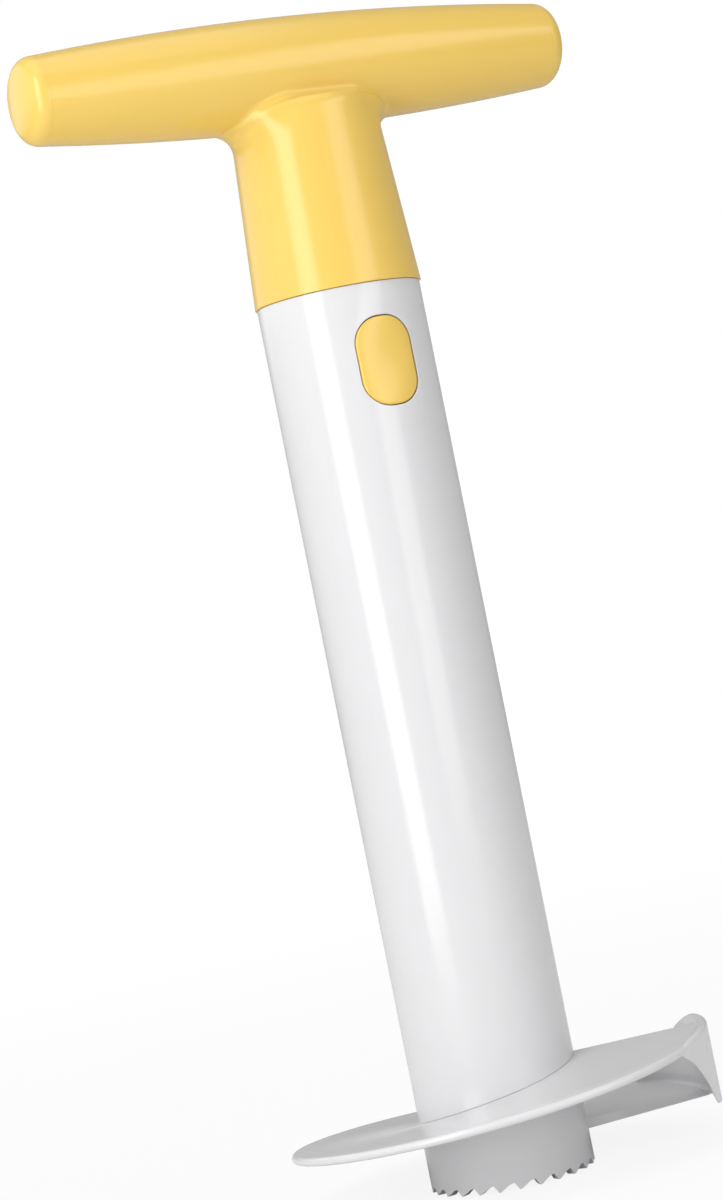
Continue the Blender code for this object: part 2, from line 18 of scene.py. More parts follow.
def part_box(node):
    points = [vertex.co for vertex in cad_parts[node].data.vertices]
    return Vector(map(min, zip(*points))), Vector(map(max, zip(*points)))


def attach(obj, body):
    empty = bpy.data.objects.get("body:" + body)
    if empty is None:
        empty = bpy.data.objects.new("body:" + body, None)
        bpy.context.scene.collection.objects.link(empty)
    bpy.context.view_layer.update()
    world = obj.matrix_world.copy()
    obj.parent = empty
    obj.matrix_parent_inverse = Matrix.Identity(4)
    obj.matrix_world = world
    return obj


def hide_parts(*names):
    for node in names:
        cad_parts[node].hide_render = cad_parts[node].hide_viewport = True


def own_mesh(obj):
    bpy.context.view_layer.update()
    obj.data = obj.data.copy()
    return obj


bl_info = {
    "name": "Pineapple Slicer",
    "version": (1, 0, 0),
    "blender": (4, 5, 0),
    "location": "3D Viewport > Sidebar > Slicer",
    "description": "Fine meshes, moulded plastics and a plain studio for a pineapple slicer",
    "category": "Object",
}

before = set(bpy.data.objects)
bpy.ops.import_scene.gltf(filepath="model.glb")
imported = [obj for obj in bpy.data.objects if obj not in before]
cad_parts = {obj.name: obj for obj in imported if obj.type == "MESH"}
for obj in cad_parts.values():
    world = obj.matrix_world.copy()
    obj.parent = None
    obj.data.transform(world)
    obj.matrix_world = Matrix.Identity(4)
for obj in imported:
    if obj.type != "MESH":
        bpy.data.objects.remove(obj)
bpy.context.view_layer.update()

MM = 0.001
TURN = 2 * math.pi
MERGE = 0.001 * MM
TINY = 1e-9
OVERRUN = 2 * MM
SOFT_EDGE = math.radians(35)
ROUND_STEPS = 256
WHITE = (1, 1, 1, 1)


# Settings


def length(label, millimetres, note):
    return FloatProperty(name=label, description=note, default=millimetres * MM, unit="LENGTH", precision=5)


def angle(label, degrees, note):
    return FloatProperty(name=label, description=note, default=math.radians(degrees), subtype="ANGLE")


def share(label, value, note):
    return FloatProperty(name=label, description=note, default=value, min=0, max=1, subtype="FACTOR")


def amount(label, value, note):
    return FloatProperty(name=label, description=note, default=value, min=0)


def count(label, number, note):
    return IntProperty(name=label, description=note, default=number, min=1)


def colour(label, rgb, note):
    return FloatVectorProperty(
        name=label, description=note, default=rgb, size=3, min=0, max=1, subtype="COLOR"
    )


class ShaftSizes(PropertyGroup):
    radius: length("Radius", 17.25, "Outer radius of the shaft and the corer")
    wall: length("Wall", 2.0, "Wall thickness")
    top: length("Top", 186.8, "Height of the shaft's upper end")
    lip: length("Lip round", 0.15, "Rounding of the upper edge")
    seam: length("Seam", 0.08, "Open seam between the shaft and the neck")
    joint: length("Joint", 0.06, "Parting gap above the slicing head")
    lap_wall: length("Lap wall", 0.85, "Wall of the spigot inside the shaft")
    lap_top: length("Lap top", 31.0, "Height of the spigot's upper end")
    gap: length("Clearance", 0.3, "Clearance between fitted pieces")


class HeadSizes(PropertyGroup):
    base: length("Blade base", 7.7, "Height of the blade's top at angle zero")
    pitch: length("Pitch", 16.1, "Climb of the blade in a full turn")
    radius: length("Blade radius", 44.69, "Outer radius of the blade")
    thickness: length("Blade thickness", 1.8, "Thickness of the blade")
    edge: length("Cutting edge", 0.2, "Thickness of the leading edge")
    edge_rise: length("Edge rise", 0.75, "Lift of the leading edge at the rim")
    lean: length("Lean", 1.4, "Lean of the blade's face at the rim")
    lean_angle: angle("Lean angle", 223, "Angle at which the lean starts")
    root: length("Root", 0.65, "Depth of the blade's root in the corer")
    lead: angle("Leading edge", -16, "Angle of the leading edge")
    trail: angle("Trailing edge", 333, "Angle of the trailing edge")
    wedge: angle("Wedge", 6, "Angle over which the leading edge thickens")
    trail_round: length("Trailing round", 0.35, "Rounding of the trailing edge")
    fin_radius: length("Fin radius", 45.6, "Outer radius of the upright fin")
    fin_thickness: length("Fin thickness", 1.9, "Thickness of the fin")
    fin_edge: length("Fin edge", 0.12, "Thickness of the fin's edge")
    fin_foot: length("Fin foot", 7.1, "Lowest point of the fin")
    fin_peak: length("Fin peak", 24.6, "Highest point of the fin")
    fin_front: angle("Fin front", -58, "Angle at which the fin leaves the rim")
    fin_rear: angle("Fin rear", 24, "Angle at which the fin meets the rim again")
    fillet: length("Fillet", 1.1, "Fillet between the fin and the blade")
    teeth: count("Teeth", 25, "Teeth around the corer")
    tooth_depth: length("Tooth depth", 1.5, "Height of the corer's teeth")
    tooth_phase: angle("Tooth phase", 243, "Angle of the first tooth's tip")


class GripSizes(PropertyGroup):
    overhang: length("Overhang", 0.4, "Step between the neck and the shaft")
    neck_slope: share("Neck slope", 0.058, "Narrowing of the neck towards its top")
    shoulder: length("Shoulder", 7.3, "Depth of the neck's shoulder below the bar's axis")
    shoulder_round: length("Shoulder round", 2.2, "Rounding of the neck's shoulder")
    shoulder_fillet: length("Shoulder fillet", 1.5, "Fillet between the shoulder and the bar")
    fillet: length("Fillet", 4.7, "Fillet between the neck and the bar")
    fillet_growth: amount("Fillet growth", 2.2, "Widening of the fillet at the front and the back")
    rise: length("Bar rise", 47.65, "Height of the bar's axis above the seam")
    half_length: length("Half length", 62.3, "Half the bar's length")
    mid_radius: length("Middle radius", 11.8, "Radius in the middle of the bar")
    end_radius: length("End radius", 9.1, "Radius at the bar's ends")
    bore: length("Bore", 7.5, "Radius of the bar's bore")
    cap_rim: length("Cap rim", 4.2, "Length of the end cap outside the bar")
    cap_round: length("Cap round", 3.6, "Rounding of the end cap")
    cap_dome: length("Cap dome", 0.5, "Rise of the cap's face in its middle")
    cap_skirt: length("Cap skirt", 8.0, "Length of the skirt inside the bore")
    cap_wall: length("Cap wall", 1.8, "Wall of the end cap")
    joint: length("Joint", 0.015, "Parting gap between the bar and its caps")
    edge: length("Edge round", 0.15, "Rounding of the neck's lower edge")
    wall: length("Neck wall", 2.4, "Wall around the neck's cavity")
    floor: length("Neck floor", 5.0, "Thickness of the floor over the socket")
    socket: length("Socket depth", 14.0, "Depth of the socket under the neck")
    spigot: length("Spigot radius", 14.0, "Radius of the plug in the socket")


class ButtonSizes(PropertyGroup):
    drop: length("Drop", 16.1, "Depth of the button's centre below the top")
    width: length("Width", 12.5, "Width of the button")
    height: length("Height", 18.4, "Height of the button")
    corner: length("Corner", 5.6, "Corner radius of the button")
    gap: length("Gap", 0.2, "Gap around the button")
    edge: length("Edge round", 0.45, "Rounding of the button's edge")
    dish: length("Dish", 0.35, "Depth of the finger dish")
    window_edge: length("Window edge", 0.15, "Rounding of the window's edge")
    flange: length("Flange thickness", 1.4, "Thickness of the flange behind the button")
    flange_rim: length("Flange rim", 1.6, "Height of the flange past the button")
    flange_face: length("Flange face", 10.3, "Distance of the flange from the shaft's axis")
    chamber: length("Chamber radius", 13.45, "Radius of the plug's chamber")
    post: length("Post radius", 1.8, "Radius of the spring's post")
    post_length: length("Post length", 2.4, "Length of the post")
    travel: length("Travel", 3.0, "Travel of a press")
    spring_wire: length("Spring wire", 0.6, "Thickness of the spring's wire")
    spring_turns: count("Spring turns", 5, "Turns of the spring")


class Looks(PropertyGroup):
    yellow: colour("Yellow", (0.78, 0.53, 0.112), "Colour of the handle and the buttons")
    white: colour("White", (0.66, 0.66, 0.67), "Colour of the shaft and the slicing head")
    grey: colour("Grey", (0.27, 0.28, 0.29), "Colour of the inner latch parts")
    steel: colour("Steel", (0.62, 0.62, 0.60), "Colour of the springs and the screws")
    yellow_roughness: share("Yellow roughness", 0.21, "Roughness of the yellow mouldings")
    white_roughness: share("White roughness", 0.16, "Roughness of the white mouldings")
    grey_roughness: share("Grey roughness", 0.45, "Roughness of the inner latch parts")
    steel_roughness: share("Steel roughness", 0.3, "Roughness of the springs and the screws")


class StudioSettings(PropertyGroup):
    azimuth: angle("Camera azimuth", -26.49, "Direction around the slicer")
    height: length("Camera height", 117.86, "Height of the camera")
    distance: length("Camera distance", 654.12, "Distance from the shaft's axis")
    yaw: angle("Camera yaw", 0.67, "Turn to the side")
    pitch: angle("Camera pitch", 0.52, "Tilt upwards")
    roll: angle("Camera roll", -11.29, "Turn about the line of sight")
    lens: amount("Lens", 93.94, "Focal length in millimetres on a 36 mm sensor")
    sky: amount("Sky", 0.375, "Brightness of the studio's walls")
    key_strip: amount("Key strip", 4.2, "Brightness of the strip light on the left")
    slanted_panel: amount("Slanted panel", 2.3, "Brightness of the panel on the right")
    front_panel: amount("Front panel", 0.15, "Brightness of the panel behind the camera")
    left_panel: amount("Left panel", 0.8, "Brightness of the high panel on the left")
    top_light: amount("Top light", 0.96, "Brightness of the light overhead")


def settings(*names):
    """Returns the scene's groups of settings with these names."""
    return [getattr(bpy.context.scene, f"slicer_{name}") for name in names]


# Mesh helpers


def capped(bm):
    """Fills the holes of a shape."""
    bmesh.ops.holes_fill(bm, edges=[edge for edge in bm.edges if edge.is_boundary], sides=0)
    return bm


def moved(bm, way):
    bmesh.ops.translate(bm, verts=bm.verts, vec=way)
    return bm


def turned(bm, turn, axis="Z"):
    """Turns a shape about an axis through the origin."""
    bmesh.ops.rotate(bm, verts=bm.verts, cent=(0, 0, 0), matrix=Matrix.Rotation(turn, 3, axis))
    return bm


def spun(outline, steps=ROUND_STEPS, closed=True, start=0.0, sweep=TURN):
    """Spins an outline of (radius, height) points about Z. A partial spin gets end faces."""
    bm = bmesh.new()
    verts = [bm.verts.new((r * math.cos(start), r * math.sin(start), z)) for r, z in outline]
    pairs = zip(verts, verts[1:] + verts[:1]) if closed else zip(verts, verts[1:])
    edges = [bm.edges.new(pair) for pair in pairs]
    full = abs(sweep - TURN) < MERGE
    bmesh.ops.spin(
        bm, geom=verts + edges, cent=(0, 0, 0), axis=(0, 0, 1), angle=sweep, steps=steps, use_merge=full
    )
    bmesh.ops.remove_doubles(bm, verts=bm.verts, dist=MERGE)
    return bm if full else capped(bm)


def reshaped(bm, rule):
    """Moves each vertex to where a rule of (radius, angle, height) puts it."""
    for vert in bm.verts:
        radius = math.hypot(vert.co.x, vert.co.y)
        theta = math.atan2(vert.co.y, vert.co.x)
        radius, theta, height = rule(radius, theta, vert.co.z)
        vert.co = (radius * math.cos(theta), radius * math.sin(theta), height)
    return bm


def rod(radius, low, high, x=0.0, steps=64):
    """A round bar along Z."""
    outline = [(0, low), (radius, low), (radius, high), (0, high)]
    return moved(spun(outline, steps=steps, closed=False), (x, 0, 0))


def arc(centre, radius, first, last, steps):
    """Points of a round stretch, both ends included, with its angles in quarter turns."""
    turns = [TURN / 4 * (first + (last - first) * k / steps) for k in range(steps + 1)]
    return [(centre[0] + radius * math.cos(t), centre[1] + radius * math.sin(t)) for t in turns]


def next_ring(bm, edges):
    """Extrudes a loop of edges in place and returns the new loop's vertices and edges."""
    made = bmesh.ops.extrude_edge_only(bm, edges=edges)["geom"]
    verts = [item for item in made if isinstance(item, bmesh.types.BMVert)]
    new = set(verts)
    edges = [item for item in made if isinstance(item, bmesh.types.BMEdge) and new.issuperset(item.verts)]
    return verts, edges


def linked(bm, name):
    """Makes an object of a shape, in place of an older one with its name."""
    bmesh.ops.recalc_face_normals(bm, faces=bm.faces)
    mesh = bpy.data.meshes.new(name)
    bm.to_mesh(mesh)
    bm.free()
    old = bpy.data.objects.get(name)
    if old:
        bpy.data.objects.remove(old, do_unlink=True)
    obj = bpy.data.objects.new(name, mesh)
    bpy.context.scene.collection.objects.link(obj)
    return obj


def with_modifiers(obj):
    """Removes an object and returns the shape that its modifiers made."""
    evaluated = obj.evaluated_get(bpy.context.evaluated_depsgraph_get())
    bm = bmesh.new()
    bm.from_mesh(evaluated.to_mesh())
    evaluated.to_mesh_clear()
    bpy.data.objects.remove(obj, do_unlink=True)
    return bm


def combined(bm, steps, name):
    """Joins or cuts a shape with tool shapes, one after the other."""
    obj = linked(bm, name)
    tools = []
    for k, (tool_bm, operation) in enumerate(steps):
        tool = linked(tool_bm, f"{name}_tool_{k}")
        modifier = obj.modifiers.new(operation.lower(), "BOOLEAN")
        modifier.operation = operation
        modifier.solver = "MANIFOLD"
        modifier.object = tool
        tools.append(tool)
    bm = with_modifiers(obj)
    for tool in tools:
        bpy.data.objects.remove(tool, do_unlink=True)
    return bm


def finished(bm, name, body, node, slot):
    """Links a closed shape as the piece that stands for a CAD node and rides on its body."""
    bmesh.ops.remove_doubles(bm, verts=bm.verts, dist=MERGE)
    open_edges = sum(not edge.is_manifold for edge in bm.edges)
    if open_edges:
        raise RuntimeError(f"{name} isn't closed: {open_edges} open edges")
    piece = linked(bm, name)
    piece.data.shade_smooth()
    piece.data.set_sharp_from_angle(angle=SOFT_EDGE)
    piece.data.materials.append(MATERIALS[slot](*settings("looks")))
    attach(piece, body)
    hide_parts(node)
    return piece


def smooth_step(value):
    value = min(max(value, 0.0), 1.0)
    return value * value * (3 - 2 * value)


def smooth_read(table, at):
    """Reads a smooth curve through a table of (share along, height share) points."""
    at = min(max(at, table[0][0]), table[-1][0])
    last = len(table) - 2
    k = next((i for i in range(last + 1) if at <= table[i + 1][0]), last)
    slopes = [(b[1] - a[1]) / (b[0] - a[0]) for a, b in zip(table, table[1:])]

    def tangent(i):
        if i in (0, len(table) - 1):
            return slopes[min(i, last)]
        before, after = slopes[i - 1], slopes[i]
        return 0.0 if before * after <= 0 else 2 * before * after / (before + after)

    width = table[k + 1][0] - table[k][0]
    t = (at - table[k][0]) / width
    rise = table[k + 1][1] - table[k][1]
    start, end = tangent(k) * width, tangent(k + 1) * width
    curve = (start + end - 2 * rise) * t ** 3 + (3 * rise - 2 * start - end) * t ** 2 + start * t
    return table[k][1] + curve


# Materials


class Value:
    """A socket of a material's node tree. Arithmetic on it adds Math nodes."""

    def __init__(self, tree, socket):
        self.tree = tree
        self.socket = socket

    def __add__(self, other):
        return add_node(self.tree, "ShaderNodeMath", {0: self, 1: other}, operation="ADD")

    def __mul__(self, other):
        return add_node(self.tree, "ShaderNodeMath", {0: self, 1: other}, operation="MULTIPLY")

    __radd__ = __add__
    __rmul__ = __mul__


def add_node(tree, kind, values=None, output=0, **setup):
    """Adds a node, sets it up, gives its sockets values or links, and returns one of its outputs."""
    node = tree.nodes.new(kind)
    for name, setting in setup.items():
        setattr(node, name, setting)
    for name, value in (values or {}).items():
        if isinstance(value, Value):
            tree.links.new(value.socket, node.inputs[name])
        else:
            node.inputs[name].default_value = value
    return Value(tree, node.outputs[output]) if node.outputs else None


def blank_tree(owner):
    """Empties the node tree of a material or a world."""
    owner.use_nodes = True
    owner.node_tree.nodes.clear()
    return owner.node_tree


def moulded(name, rgb, roughness, metallic=0.0, mottle=0.015, uneven=0.06, wave=0.02, grain=0.012):
    """A moulded surface: slow shade changes, uneven polish, faint waves and a very fine grain."""
    material = bpy.data.materials.get(name) or bpy.data.materials.new(name)
    tree = blank_tree(material)
    place = add_node(tree, "ShaderNodeTexCoord", output="Object")

    def noise(scale, detail):
        return add_node(tree, "ShaderNodeTexNoise", {"Vector": place, "Scale": scale, "Detail": detail})

    cloud = noise(scale=55.0, detail=2.0)
    polish = noise(scale=420.0, detail=3.0)
    dark = [channel * (1 - mottle) for channel in rgb] + [1.0]
    light = [min(channel * (1 + mottle), 1.0) for channel in rgb] + [1.0]
    base = add_node(tree, "ShaderNodeMix", {"Factor": cloud, 6: dark, 7: light}, 2, data_type="RGBA")
    relief = noise(scale=90.0, detail=1.0) * wave + noise(scale=5200.0, detail=2.0) * grain
    bump = add_node(tree, "ShaderNodeBump", {"Strength": 0.35, "Distance": 0.1 * MM, "Height": relief})
    gloss = polish * uneven + (roughness - uneven / 2)
    shader = add_node(
        tree, "ShaderNodeBsdfPrincipled",
        {"Base Color": base, "Roughness": gloss, "Metallic": metallic, "IOR": 1.5, "Normal": bump},
    )
    add_node(tree, "ShaderNodeOutputMaterial", {"Surface": shader})
    return material


def yellow_plastic(looks):
    return moulded("yellow_plastic", looks.yellow, looks.yellow_roughness)


def white_plastic(looks):
    return moulded("white_plastic", looks.white, looks.white_roughness)


def grey_plastic(looks):
    return moulded("grey_plastic", looks.grey, looks.grey_roughness, mottle=0.04, grain=0.05)


def spring_steel(looks):
    return moulded("spring_steel", looks.steel, looks.steel_roughness, metallic=1.0, grain=0.03)


MATERIALS = {
    "yellow_plastic": yellow_plastic, "white_plastic": white_plastic, "grey_plastic": grey_plastic,
    "spring_steel": spring_steel,
}


# Shaft

# How far the seam's step lies past the blade's trailing edge, as shares of the clearance
SHAFT_STEP_SHARE = 1.2
CORER_STEP_SHARE = -0.5


def blade_top(head, theta, radius):
    """Height of the blade's top face."""
    lean = head.lean * radius / head.radius * math.sin(theta - head.lean_angle)
    return head.base + head.pitch * theta / TURN + lean


def button_centre(shaft, button):
    return shaft.top - button.drop


def shaft_mesh():
    """Tube whose lower end follows the spiral blade."""
    shaft, head, button = settings("shaft", "head", "button")
    bore = shaft.radius - shaft.wall
    socket = bore + shaft.lap_wall + shaft.gap
    socket_top = shaft.lap_top + shaft.gap
    band = button.height / 2 + OVERRUN
    centre = button_centre(shaft, button)
    rim = seam_height(shaft) - shaft.seam
    lip = arc((shaft.radius - shaft.lip, rim - shaft.lip), shaft.lip, 1, 0, steps=4)
    outline = [(bore, socket_top), (bore, rim)] + lip
    outline += [(shaft.radius, centre + band), (shaft.radius, centre - band)]
    outline += [(shaft.radius, 0), (socket, 0), (socket, socket_top)]
    start = head.trail + SHAFT_STEP_SHARE * shaft.gap / shaft.radius

    def foot(radius, theta, height):
        if height > MERGE:
            return radius, theta, height
        around = (theta - start + MERGE) % TURN + start - TURN
        return radius, theta, blade_top(head, around, radius) + shaft.joint

    return reshaped(spun(outline, start=start), foot)


def button_plate(button, layers, corner_steps=14, side_cuts=11):
    """Rings of a rounded rectangle that faces -Y. Each layer is a function of a place on the outline."""
    core = (button.width / 2 - button.corner, button.height / 2 - button.corner)
    bm = bmesh.new()
    bmesh.ops.create_grid(bm, x_segments=1, y_segments=1, size=1)
    bmesh.ops.scale(bm, vec=(button.width / 2, button.height / 2, 1), verts=bm.verts)
    bmesh.ops.bevel(
        bm, geom=bm.verts[:], offset=button.corner, offset_type="OFFSET", affect="VERTICES",
        segments=corner_steps, profile=0.5, material=-1,
    )
    bmesh.ops.delete(bm, geom=bm.faces[:], context="FACES_ONLY")
    long_edges = [edge for edge in bm.edges if edge.calc_length() > button.corner]
    bmesh.ops.subdivide_edges(bm, edges=long_edges, cuts=side_cuts)
    seat = bm.verts.layers.float_vector.new("seat")
    for vert in bm.verts:
        vert[seat] = vert.co
    verts, edges = bm.verts[:], bm.edges[:]
    for k, layer in enumerate(layers):
        if k:
            verts, edges = next_ring(bm, edges)
        for vert in verts:
            x, z = vert[seat].x, vert[seat].y
            core_x, core_z = min(max(x, -core[0]), core[0]), min(max(z, -core[1]), core[1])
            away = Vector((x - core_x, z - core_z)).normalized()
            vert.co = layer((x, z), (core_x, core_z), away)
    bm.verts.layers.float_vector.remove(seat)
    return capped(bm)


def on_cylinder(x, z, radius, depth):
    """A place on the shaft's front, at a depth below its surface."""
    return Vector((x, -math.sqrt((radius - depth) ** 2 - x * x), z))


def ring(shaft, button, outset, depth):
    """Layer around the button's outline, set outwards from it and sunk below the shaft's surface."""
    centre = button_centre(shaft, button)

    def place(seat, core, away):
        reach = button.corner + outset
        x, z = core[0] + away.x * reach, core[1] + away.y * reach
        return on_cylinder(x, centre + z, shaft.radius, depth)

    return place


def window_tool(shaft, button, turn):
    """Cutter for the button's window, with a flare that rounds the window's edge."""
    edge = button.window_edge
    rings = [(edge, -OVERRUN), *arc((edge, edge), edge, -1, -2, steps=4), (0, shaft.wall + OVERRUN)]
    layers = [ring(shaft, button, button.gap + outset, depth) for outset, depth in rings]
    return turned(button_plate(button, layers), turn)


class SLICER_OT_shaft(Operator):
    """Model the shaft: a tube with two windows for the buttons"""

    bl_idname = "slicer.shaft"
    bl_label = "Shaft"

    def execute(self, context):
        shaft, button = settings("shaft", "button")
        cuts = [(window_tool(shaft, button, turn), "DIFFERENCE") for turn in (0, math.pi)]
        tube = combined(shaft_mesh(), cuts, "shaft_fine")
        finished(tube, "shaft_fine", "slicer", "shaft_tube", "white_plastic")
        return {"FINISHED"}


# Slicing head

TOOTH_SHARES = ((0.0, 1.0), (0.22, 0.0), (0.29, 0.0), (0.52, 0.42), (0.78, 0.86), (1.0, 1.0))
FIN_TOP_SHARES = (
    (0.0, 0.87), (0.03, 0.895), (0.07, 0.92), (0.15, 0.954), (0.24, 0.983), (0.34, 0.994), (0.44, 1.0),
    (0.54, 0.989), (0.60, 0.943), (0.65, 0.88), (0.69, 0.811), (0.74, 0.674), (0.80, 0.486), (0.87, 0.314),
    (0.93, 0.2), (1.0, 0.06),
)
FIN_LOW_SHARES = (
    (0.0, 0.81), (0.033, 0.731), (0.076, 0.623), (0.12, 0.463), (0.16, 0.303), (0.177, 0.2), (0.19, 0.126),
    (0.22, 0.063), (0.28, 0.046), (0.51, 0.006), (0.70, 0.0), (1.0, 0.029),
)
# Where the fin swells and tucks in, how it thickens from its edge and its front, and its round top
FIN_SWELL_SHARE = 0.25
FIN_TUCK_SHARE = 0.05
FIN_TUCK_DEPTH_SHARE = 0.3
FIN_NUDGE_SHARE = 0.004
FIN_BEVEL_SHARE = 0.42
FIN_TAPER_SHARE = 0.12
CREST_SHARE = 0.46
CREST_LIMIT_SHARE = 0.47
FIN_ROWS = 84
FIN_STEPS = 190
CORER_STEPS = 600
BLADE_STEPS = 360


def tooth_height(head, theta):
    """Height of the corer's lower edge: saw teeth with one steep flank."""
    at = (theta - head.tooth_phase) * head.teeth / TURN % 1
    return head.tooth_depth * np.interp(at, *zip(*TOOTH_SHARES))


def corer_mesh():
    """Toothed round wall up to the blade, and the spigot that enters the shaft."""
    shaft, head = settings("shaft", "head")
    bore = shaft.radius - shaft.wall
    lap = bore + shaft.lap_wall
    step = head.fin_foot
    outline = [
        (bore, 0), (shaft.radius, 0), (shaft.radius, step), (lap, step), (lap, shaft.lap_top),
        (bore, shaft.lap_top),
    ]
    start = head.trail + CORER_STEP_SHARE * shaft.gap / shaft.radius

    def wall(radius, theta, height):
        if height < MERGE:
            return radius, theta, tooth_height(head, theta)
        if abs(height - step) > MERGE:
            return radius, theta, height
        around = (theta - start + MERGE) % TURN + start - TURN
        return radius, theta, blade_top(head, around, radius) - head.thickness / 2

    return reshaped(spun(outline, steps=CORER_STEPS, start=start), wall)


def blade_mesh():
    """One turn of spiral blade, sharpened at its leading edge and round at its rim."""
    shaft, head = settings("shaft", "head")
    rim = head.thickness / 2
    root = shaft.radius - head.root
    spans = 8
    outline = [(root, -head.thickness), (root, 0)]
    outline += [(root + (head.radius - rim - root) * k / spans, 0) for k in range(1, spans)]
    outline += arc((head.radius - rim, -rim), rim, 1, -1, steps=14)
    bm = spun(outline, steps=BLADE_STEPS, start=head.lead, sweep=head.trail - head.lead)
    ends = [face for face in bm.faces if len(face.verts) > 4]
    behind = Vector((math.cos(head.trail), math.sin(head.trail)))
    tail = max(ends, key=lambda face: face.calc_center_median().xy.dot(behind))
    round_edges = [edge for edge in tail.edges if all(v.co.xy.length > root + MERGE for v in edge.verts)]
    bmesh.ops.bevel(
        bm, geom=round_edges, offset=head.trail_round, offset_type="OFFSET", affect="EDGES", segments=3,
        profile=0.5, material=-1, clamp_overlap=True,
    )

    def spiral(radius, theta, height):
        around = (theta - head.lead + MERGE) % TURN + head.lead
        wedge = min((around - head.lead) / head.wedge, 1)
        thickness = head.edge + (head.thickness - head.edge) * wedge
        drop = -height / head.thickness
        rise = head.edge_rise * (1 - wedge) * radius / head.radius
        lowered = (head.thickness - head.edge) * (1 - wedge)
        return radius, theta, blade_top(head, around, radius) + rise - lowered - thickness * drop

    return reshaped(bm, spiral)


def rounding(radius, away):
    """How far a round edge or fillet stands off, at a distance from where it starts."""
    if away >= radius:
        return 0.0
    return radius - math.sqrt(radius ** 2 - (radius - away) ** 2)


def fin_mesh():
    """Upright fin at the rim: a curved cutting edge in front, a round top and fillets to the blade."""
    [head] = settings("head")
    rows = [(1 - math.cos(math.pi * k / FIN_ROWS)) / 2 for k in range(FIN_ROWS + 1)]
    # Until upright() places them, the points of the outer face have twice the radius of the inner ones
    outline = [(2 * head.radius, row) for row in rows] + [(head.radius, row) for row in reversed(rows)]
    sweep = head.fin_rear - head.fin_front
    bm = spun(outline, steps=FIN_STEPS, start=head.fin_front, sweep=sweep)
    height = head.fin_peak - head.fin_foot

    def heights(at):
        shares = smooth_read(FIN_LOW_SHARES, at), smooth_read(FIN_TOP_SHARES, at)
        return [head.fin_foot + height * share for share in shares]

    columns = {}

    def column(theta):
        key = round(theta, 5)
        if key not in columns:
            at = (theta - head.fin_front) / sweep
            before, after = max(at - FIN_NUDGE_SHARE, 0), min(at + FIN_NUDGE_SHARE, 1)
            run = sweep * head.radius * (after - before)
            slants = [math.hypot(1, (b - a) / run) for a, b in zip(heights(before), heights(after))]
            columns[key] = (at, *heights(at), *slants)
        return columns[key]

    def upright(radius, theta, row):
        at, low, high, low_slant, high_slant = column(theta)
        z = low + (high - low) * row
        swell = smooth_step(min(at, 1 - at) / FIN_SWELL_SHARE)
        tuck = 1 - smooth_step(min(at, 1 - at) / FIN_TUCK_SHARE)
        outer = head.radius + (head.fin_radius - head.radius) * swell
        outer -= head.thickness * FIN_TUCK_DEPTH_SHARE * tuck
        below, above = max(z - low, 0) / low_slant, max(high - z, 0) / high_slant
        thickness = head.fin_edge + FIN_BEVEL_SHARE * below + FIN_TAPER_SHARE * at * head.fin_thickness
        thickness = min(thickness, head.fin_thickness)
        bite = min(rounding(CREST_SHARE * head.fin_thickness, above), CREST_LIMIT_SHARE * thickness)
        inner = outer - thickness + bite
        outer -= bite
        # The fin meets the blade's first stretch and, a turn further, its last
        first = smooth_step((theta - head.lead) * head.radius / head.fillet)
        last = smooth_step((head.trail - TURN - theta) * head.radius / head.fillet)
        stretches = (
            (theta, first * smooth_step((1 - at) / FIN_SWELL_SHARE)),
            (theta + TURN, last * smooth_step(at / FIN_SWELL_SHARE)),
        )
        for around, fade in stretches:
            level = blade_top(head, around, outer)
            away = max(z - level, level - head.thickness - z, 0)
            inner -= rounding(head.fillet, away) * fade
        return (outer if radius > head.radius + MERGE else inner), theta, z

    return reshaped(bm, upright)


class SLICER_OT_head(Operator):
    """Model the slicing head: corer, spiral blade and fin in one moulding"""

    bl_idname = "slicer.head"
    bl_label = "Slicing head"

    def execute(self, context):
        joins = [(blade_mesh(), "UNION"), (fin_mesh(), "UNION")]
        head = combined(corer_mesh(), joins, "head_fine")
        finished(head, "head_fine", "slicer", "slicing_head", "white_plastic")
        return {"FINISHED"}


# Handle

CAGE_SHARE = 0.9
CAGE_BAR_SEGMENTS = 4
CAGE_NECK_SEGMENTS = 3
SKIN_LEVELS = 5
SETTLE_ROUNDS = 7
SMOOTH_PASSES = 4
FIRST_PULLS = 8
PULLS = 3
NUDGE = 0.02 * MM
FLATTEST_SQUARE = 0.05
SAME_WAY = 0.9995
# The faces round the junction are halved before this round of settling
REFINED_ROUND = 5
REFINED_LOW_SHARE = 0.3
REFINED_HIGH_SHARE = 0.25
REFINED_WIDTH_SHARE = 1.25
# The fillet has half its growth at this share of the neck's radius to the front or the back
HALF_GROWN_SHARE = 0.65
GROWTH_POWER = 6
SCREW_SHANK = 1.3 * MM
BOSS_RADIUS = 3.4 * MM
BOSS_ROOF = 1.6 * MM
PASSAGE_SHARE = 0.8
ROOF_SHARE = 0.4


def seam_height(shaft):
    return shaft.top + shaft.gap


def bar_height(shaft, grip):
    return seam_height(shaft) + grip.rise


def bar_radius(grip, x):
    """Barrel shape: thickest in the middle."""
    along = x / (grip.half_length - grip.cap_rim)
    return grip.mid_radius - (grip.mid_radius - grip.end_radius) * along * along


def neck_radius(shaft, grip, z):
    return shaft.radius + grip.overhang - grip.neck_slope * (z - seam_height(shaft))


